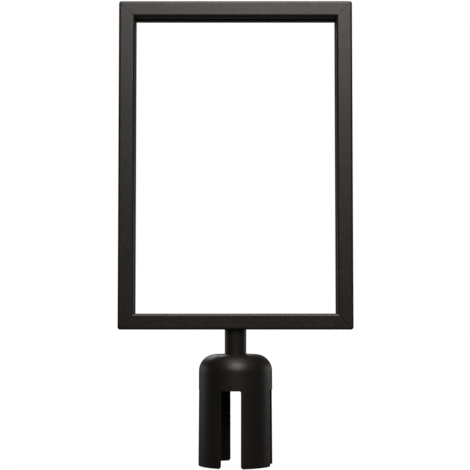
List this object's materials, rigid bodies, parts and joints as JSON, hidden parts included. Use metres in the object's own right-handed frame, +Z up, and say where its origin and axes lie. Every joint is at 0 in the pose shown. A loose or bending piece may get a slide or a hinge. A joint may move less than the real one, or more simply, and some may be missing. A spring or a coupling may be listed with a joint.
{
  "type": "post-top sign frame",
  "caption": "Portrait sheet frame on a short round neck, swivelling on a domed slotted cup that slips over a barrier post.",
  "frame": {"origin": "on the swivel axis, at the plane of the four leg tips", "axes": "+Z up along the neck, +X to the right along the frame's width, front of the frame towards -Y"},
  "size_m": [0.2164, 0.0682, 0.4289],
  "materials": {
    "black_coated_aluminium": "satin black powder coat",
    "black_coated_steel": "satin black powder coat",
    "black_nylon": "satin moulded black",
    "natural_nylon": "satin",
    "zinc_steel": "bright zinc plate",
    "spring_steel": "plain, lightly oiled",
    "cast_aluminium": "as cast",
    "black_rubber": "matt"
  },
  "bodies": {
    "adapter": {"adapter_cup": "black_nylon", "slip_washer_lower": "natural_nylon", "slip_washer_upper": "natural_nylon"},
    "sign_frame": {"swivel_washer": "zinc_steel", "spring_washer": "spring_steel", "swivel_bolt": "zinc_steel", "neck_tube": "black_coated_steel", "neck_plug_lower": "zinc_steel", "neck_plug_upper": "zinc_steel", "neck_screw_washer": "spring_steel", "neck_screw": "zinc_steel", "bottom_rail": "black_coated_aluminium", "left_stile": "black_coated_aluminium", "right_stile": "black_coated_aluminium", "top_rail_front": "black_coated_aluminium", "top_rail_rear": "black_coated_aluminium", "corner_key_lower_left_front": "cast_aluminium", "corner_key_lower_left_rear": "cast_aluminium", "corner_key_upper_left_front": "cast_aluminium", "corner_key_upper_left_rear": "cast_aluminium", "corner_key_upper_right_front": "cast_aluminium", "corner_key_upper_right_rear": "cast_aluminium", "corner_key_lower_right_front": "cast_aluminium", "corner_key_lower_right_rear": "cast_aluminium", "rest_block_left": "black_rubber", "rest_block_right": "black_rubber"}
  },
  "joints": [
    {"name": "frame_swivel", "type": "hinge", "parent": "adapter", "child": "sign_frame", "pos_m": [0, 0, 0.1], "axis": [0, 0, 1], "continuous": true}
  ]
}
